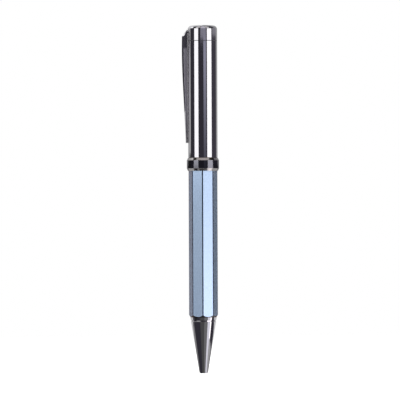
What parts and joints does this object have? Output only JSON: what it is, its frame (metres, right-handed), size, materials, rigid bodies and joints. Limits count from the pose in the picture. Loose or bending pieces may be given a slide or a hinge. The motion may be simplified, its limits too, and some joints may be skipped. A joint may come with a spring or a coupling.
{
  "type": "twist ballpoint pen",
  "caption": "Twist-action metal ballpoint pen with an octagonal lacquered barrel, a plated round cap with a clip, and a refill driven by a helical cam.",
  "frame": {"origin": "on the pen's axis at mid-height of the centre ring", "axes": "+Z along the axis from the writing point to the crown; the clip faces -Y; a barrel edge faces +X"},
  "size_m": [0.0126, 0.0143, 0.136],
  "materials": {
    "lacquer": "pale blue metallic lacquer, glossy",
    "plating": "chrome, polished",
    "turned_brass": "turned, unpolished",
    "spring_steel": "drawn wire and strip",
    "acetal": "natural white",
    "refill_metal": "drawn tube, satin",
    "nickel_silver": "turned",
    "carbide": "ground ball",
    "refill_plastic": "moulded, dark blue"
  },
  "bodies": {
    "barrel": {"lower_barrel": "lacquer", "nose_ring": "plating", "nose_cone": "plating", "centre_ring": "plating", "barrel_coupler": "turned_brass", "guide_tube": "turned_brass", "retaining_ring": "spring_steel", "return_spring": "spring_steel"},
    "cap": {"cap_tube": "plating", "crown": "plating", "crown_plug": "turned_brass", "crown_screw": "spring_steel", "drive_sleeve": "acetal", "cam_sleeve": "turned_brass"},
    "refill": {"plunger": "acetal", "cam_pin": "spring_steel", "refill_tube": "refill_metal", "refill_tip": "nickel_silver", "refill_plug": "refill_plastic"},
    "ball": {"writing_ball": "carbide"},
    "clip": {"clip": "plating"}
  },
  "joints": [
    {"name": "cap_twist", "type": "hinge", "parent": "barrel", "child": "cap", "pos_m": [0, 0, 0], "axis": [0, 0, -1], "range_deg": [0, 180]},
    {"name": "point_slide", "type": "slide", "parent": "barrel", "child": "refill", "axis": [0, 0, -1], "range_m": [0, 0.0042], "deforming": ["return_spring"]},
    {"name": "ball_roll", "type": "hinge", "parent": "refill", "child": "ball", "pos_m": [0, 0, -0.07992], "axis": [1, 0, 0], "continuous": true},
    {"name": "clip_flex", "type": "hinge", "parent": "cap", "child": "clip", "pos_m": [0, -0.0054, 0.05151], "axis": [-1, 0, 0], "range_deg": [0, 2], "stiffness_Nm_per_rad": 3, "springref_deg": -1.15}
  ],
  "couplings": [
    {"joint": "point_slide", "follows": "cap_twist", "m_per_rad": 0.0013369}
  ]
}
